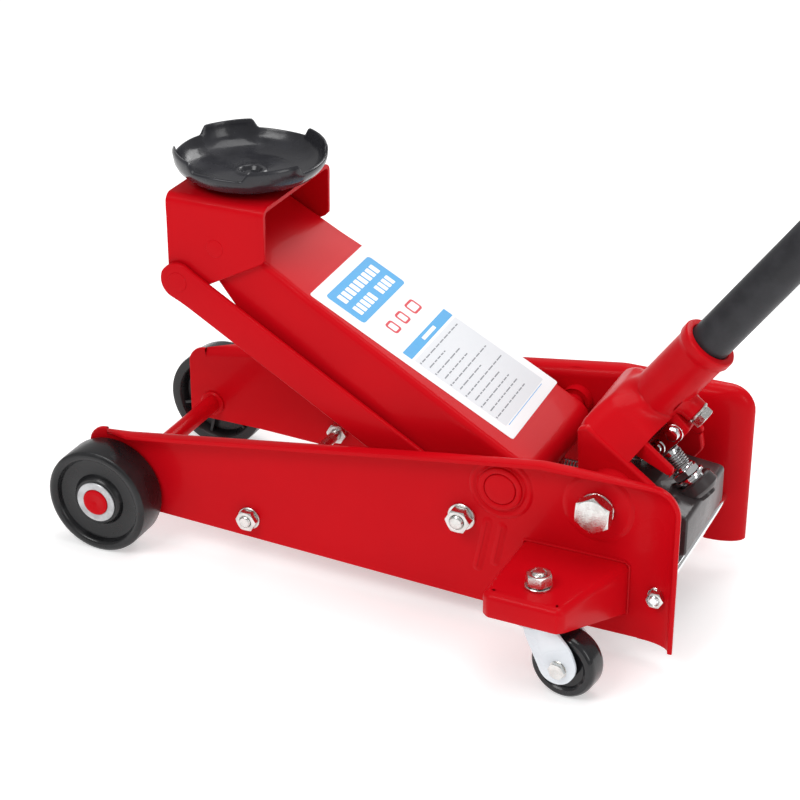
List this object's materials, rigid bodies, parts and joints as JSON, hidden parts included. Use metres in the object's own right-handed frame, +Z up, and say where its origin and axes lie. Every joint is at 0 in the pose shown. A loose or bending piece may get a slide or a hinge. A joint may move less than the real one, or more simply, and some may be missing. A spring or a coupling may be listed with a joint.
{
  "type": "hydraulic trolley jack",
  "caption": "Low hydraulic trolley jack with pressed side plates, a channel lift arm with parallel rods, a swivel saddle, casters and a long pump handle.",
  "frame": {"origin": "middle of the jack's footprint box, on the floor", "axes": "+X from the front wheels towards the handle, +Y from the left side plate to the right one, +Z up from the floor"},
  "size_m": [1.141, 0.362, 1.0448],
  "materials": {
    "red_paint": "gloss",
    "black_paint": "satin",
    "zinc": "satin",
    "steel": "satin",
    "wheel_black": "satin",
    "caster_black": "gloss",
    "fork_white": "satin",
    "saddle_black": "gloss",
    "label": "satin",
    "grip_black": "matte"
  },
  "bodies": {
    "frame": {"side_plate_left": "red_paint", "side_plate_right": "red_paint", "front_axle": "red_paint", "wheel_washers": "zinc", "arm_pivot_shaft": "red_paint", "tie_rod": "zinc", "frame_rod_nuts": "zinc", "rod_pivot_bolts": "zinc", "rod_pivot_nuts": "zinc", "rod_pivot_spacers": "steel", "caster_bracket_left": "red_paint", "caster_bracket_right": "red_paint", "caster_stems": "zinc", "caster_nuts": "zinc", "caster_bearings": "zinc", "power_unit": "black_paint", "ram_cylinder": "black_paint", "cylinder_gland": "steel", "pump_barrel": "black_paint", "pump_gland_nut": "zinc", "plunger_spring": "steel", "valve_body": "black_paint", "filler_plug": "zinc", "unit_mounts": "steel", "rear_cross_rod": "zinc", "socket_pivot_bolts": "zinc", "return_springs": "steel", "release_coupling": "steel"},
    "front_wheel_left": {"front_wheel_left": "wheel_black"},
    "front_wheel_right": {"front_wheel_right": "wheel_black"},
    "caster_left": {"caster_fork_left": "fork_white", "caster_axle_left": "zinc"},
    "caster_right": {"caster_fork_right": "fork_white", "caster_axle_right": "zinc"},
    "caster_wheel_left": {"caster_wheel_left": "caster_black"},
    "caster_wheel_right": {"caster_wheel_right": "caster_black"},
    "lift_arm": {"lift_arm": "red_paint", "arm_pivot_tube": "red_paint", "crank_ears": "red_paint", "crank_pin": "steel", "bracket_pin": "zinc", "arm_label": "label"},
    "saddle_bracket": {"saddle_bracket": "red_paint", "rod_front_pins": "red_paint"},
    "radius_rod_left": {"radius_rod_left": "red_paint"},
    "radius_rod_right": {"radius_rod_right": "red_paint"},
    "saddle": {"saddle": "saddle_black", "saddle_clip": "zinc"},
    "ram": {"ram_rod": "steel", "ram_head": "steel"},
    "handle_socket": {"handle_socket": "red_paint", "retaining_bolt": "zinc", "roller_bracket": "zinc"},
    "pump_roller": {"pump_roller": "black_paint"},
    "pump_plunger": {"pump_plunger": "zinc"},
    "handle": {"handle_lower": "black_paint", "handle_upper": "black_paint", "snap_button": "zinc", "handle_grip": "grip_black"},
    "valve_spindle": {"valve_spindle": "zinc"}
  },
  "joints": [
    {"name": "front_wheel_left_spin", "type": "hinge", "parent": "frame", "child": "front_wheel_left", "pos_m": [-0.52252, -0.108, 0.048], "axis": [0, 1, 0], "continuous": true},
    {"name": "front_wheel_right_spin", "type": "hinge", "parent": "frame", "child": "front_wheel_right", "pos_m": [-0.52252, 0.108, 0.048], "axis": [0, 1, 0], "continuous": true},
    {"name": "caster_left_swivel", "type": "hinge", "parent": "frame", "child": "caster_left", "pos_m": [-0.10052, -0.152, 0.062], "axis": [0, 0, 1], "continuous": true},
    {"name": "caster_right_swivel", "type": "hinge", "parent": "frame", "child": "caster_right", "pos_m": [-0.10052, 0.152, 0.062], "axis": [0, 0, 1], "continuous": true},
    {"name": "caster_wheel_left_spin", "type": "hinge", "parent": "caster_left", "child": "caster_wheel_left", "pos_m": [-0.07279, -0.1559, 0.028], "axis": [0.1392, 0.9903, 0], "continuous": true},
    {"name": "caster_wheel_right_spin", "type": "hinge", "parent": "caster_right", "child": "caster_wheel_right", "pos_m": [-0.07279, 0.1559, 0.028], "axis": [-0.1392, 0.9903, 0], "continuous": true},
    {"name": "arm_lift", "type": "hinge", "parent": "frame", "child": "lift_arm", "pos_m": [-0.15852, 0, 0.1298], "axis": [0, 1, 0], "range_deg": [-33.7, 29.3]},
    {"name": "bracket_level", "type": "hinge", "parent": "lift_arm", "child": "saddle_bracket", "pos_m": [-0.43044, 0, 0.27867], "axis": [0, 1, 0], "range_deg": [-29.4, 33.8]},
    {"name": "rod_left_swing", "type": "hinge", "parent": "frame", "child": "radius_rod_left", "pos_m": [-0.19212, -0.072, 0.0958], "axis": [0, 1, 0], "range_deg": [-33.8, 29.4]},
    {"name": "rod_right_swing", "type": "hinge", "parent": "frame", "child": "radius_rod_right", "pos_m": [-0.19212, 0.072, 0.0958], "axis": [0, 1, 0], "range_deg": [-33.8, 29.4]},
    {"name": "saddle_turn", "type": "hinge", "parent": "saddle_bracket", "child": "saddle", "pos_m": [-0.42752, 0, 0.325], "axis": [0, 0, 1], "continuous": true},
    {"name": "ram_stroke", "type": "slide", "parent": "frame", "child": "ram", "axis": [-1, 0, 0], "range_m": [-0.0292, 0.0254], "deforming": ["return_springs"]},
    {"name": "handle_pump", "type": "hinge", "parent": "frame", "child": "handle_socket", "pos_m": [-0.07552, 0, 0.1315], "axis": [0, -1, 0], "range_deg": [-25, 28], "deforming": ["release_coupling"]},
    {"name": "roller_spin", "type": "hinge", "parent": "handle_socket", "child": "pump_roller", "pos_m": [-0.05452, 0, 0.1515], "axis": [0, 1, 0], "continuous": true},
    {"name": "plunger_stroke", "type": "slide", "parent": "frame", "child": "pump_plunger", "axis": [0.6897, 0, -0.7241], "range_m": [-0.0142, 0.013], "deforming": ["plunger_spring"]},
    {"name": "handle_twist", "type": "hinge", "parent": "handle_socket", "child": "handle", "pos_m": [-0.03583, 0, 0.22637], "axis": [0.5906, 0, 0.807], "range_deg": [0, 90]},
    {"name": "release_turn", "type": "hinge", "parent": "frame", "child": "valve_spindle", "pos_m": [-0.1067, 0, 0.12954], "axis": [0.5906, 0, 0.807], "range_deg": [-0.5, 90.5]}
  ],
  "couplings": [
    {"joint": "bracket_level", "follows": "arm_lift", "ratio": -1},
    {"joint": "rod_left_swing", "follows": "arm_lift", "ratio": 1},
    {"joint": "rod_right_swing", "follows": "arm_lift", "ratio": 1},
    {"joint": "ram_stroke", "follows": "arm_lift", "m_per_rad": 0.0494},
    {"joint": "plunger_stroke", "follows": "handle_pump", "m_per_rad": -0.02798},
    {"joint": "release_turn", "follows": "handle_twist", "ratio": 1}
  ]
}
